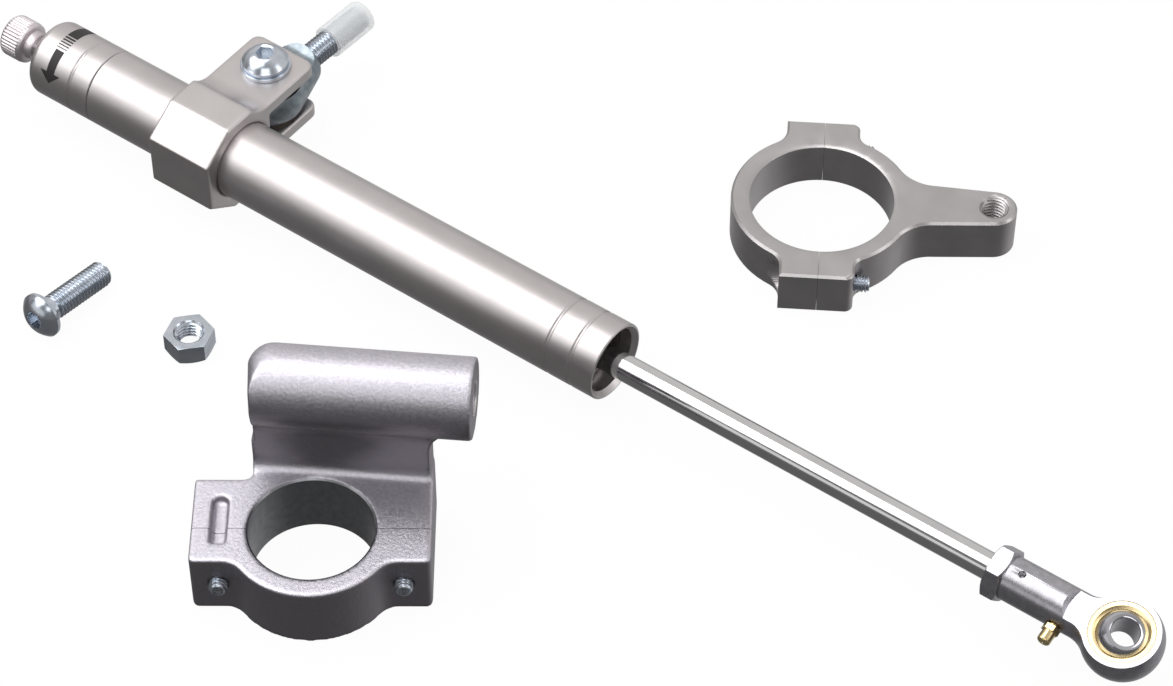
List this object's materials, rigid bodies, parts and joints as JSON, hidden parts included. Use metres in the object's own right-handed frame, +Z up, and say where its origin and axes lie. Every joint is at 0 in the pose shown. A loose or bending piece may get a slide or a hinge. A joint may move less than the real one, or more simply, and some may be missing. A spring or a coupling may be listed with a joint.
{
  "type": "motorcycle steering damper",
  "caption": "Adjustable hydraulic steering damper with a clamp-on clevis end, a rod end, a split fork clamp, a split frame bracket, and a loose bolt and nut.",
  "frame": {"origin": "on the bench, under the middle of the damper's body clamp", "axes": "+X along the damper towards its rod end, +Y towards the stud, +Z up from the bench"},
  "size_m": [0.4092, 0.253, 0.0615],
  "materials": {
    "anodised_aluminium": "satin anodised, champagne silver",
    "machined_aluminium": "fine machined, satin",
    "cast_aluminium": "as cast, fine grain",
    "hard_chrome": "ground and chromed",
    "satin_steel": "satin",
    "zinc_plate": "bright zinc plated",
    "brass": "turned",
    "rubber": "matte",
    "frosted_plastic": "translucent, frosted"
  },
  "bodies": {
    "root": {"body_clamp": "anodised_aluminium", "clevis_bolt": "zinc_plate", "clevis_washer": "zinc_plate", "clevis_ball": "satin_steel", "fork_clamp_arm": "machined_aluminium", "frame_bracket": "cast_aluminium", "frame_bracket_screws": "zinc_plate", "mounting_bolt": "zinc_plate", "mounting_nut": "zinc_plate"},
    "stud": {"stud_eye": "satin_steel", "stud_race": "brass"},
    "thread_cap": {"stud_cap": "frosted_plastic"},
    "tube": {"body_tube": "anodised_aluminium", "end_cap": "anodised_aluminium", "inner_cylinder": "satin_steel", "rod_gland": "machined_aluminium", "rod_bush": "brass", "rod_seal": "rubber", "rod_wiper": "rubber", "gland_o_ring": "rubber", "cap_o_ring": "rubber", "circlip": "satin_steel", "needle_seat": "brass", "detent_ball": "hard_chrome", "detent_spring": "satin_steel"},
    "knob": {"adjuster_knob": "machined_aluminium", "adjuster_shaft": "hard_chrome", "knob_grub_screw": "zinc_plate"},
    "needle": {"adjuster_needle": "hard_chrome", "needle_o_ring": "rubber"},
    "piston_carrier": {"piston_ring": "rubber"},
    "rod": {"piston_rod": "hard_chrome", "piston": "machined_aluminium", "piston_shim": "satin_steel", "piston_nut": "zinc_plate", "top_out_bumper": "rubber", "rod_end_housing": "satin_steel", "rod_end_race": "brass", "grease_nipple": "brass"},
    "rod_ball": {"rod_end_ball": "satin_steel"},
    "fork_cap": {"fork_clamp_cap": "machined_aluminium", "fork_clamp_screws": "zinc_plate"},
    "bracket_cap": {"frame_bracket_cap": "cast_aluminium"}
  },
  "joints": [
    {"name": "stud_swing", "type": "hinge", "parent": "root", "child": "stud", "pos_m": [0, 0.0254, 0.0181], "axis": [0, 0, 1], "range_deg": [-87, 93]},
    {"name": "thread_cap_slide", "type": "slide", "parent": "stud", "child": "thread_cap", "axis": [0.0523, 0.9986, 0], "range_m": [0, 0.02]},
    {"name": "clamp_slide", "type": "slide", "parent": "root", "child": "tube", "axis": [1, 0, 0], "range_m": [-0.1, 0.03]},
    {"name": "knob_turn", "type": "hinge", "parent": "tube", "child": "knob", "pos_m": [-0.075, 0, 0.016], "axis": [1, 0, 0], "range_deg": [0, 900]},
    {"name": "needle_feed", "type": "slide", "parent": "tube", "child": "needle", "axis": [1, 0, 0], "range_m": [0, 0.002]},
    {"name": "rod_slide", "type": "slide", "parent": "tube", "child": "piston_carrier", "axis": [1, 0, 0], "range_m": [-0.12, 0]},
    {"name": "rod_spin", "type": "hinge", "parent": "piston_carrier", "child": "rod", "pos_m": [0.2, 0, 0.016], "axis": [1, 0, 0], "continuous": true},
    {"name": "rod_ball_tilt", "type": "hinge", "parent": "rod", "child": "rod_ball", "pos_m": [0.3164, 0, 0.016], "axis": [0, 0.9659, 0.2588], "range_deg": [-25, 1]},
    {"name": "fork_cap_pull", "type": "slide", "parent": "root", "child": "fork_cap", "axis": [-0.849, -0.5284, 0], "range_m": [0, 0.04]},
    {"name": "bracket_cap_pull", "type": "slide", "parent": "root", "child": "bracket_cap", "axis": [0.5892, -0.808, 0], "range_m": [0, 0.04]}
  ],
  "couplings": [
    {"joint": "needle_feed", "follows": "knob_turn", "m_per_rad": 0.00012732}
  ]
}
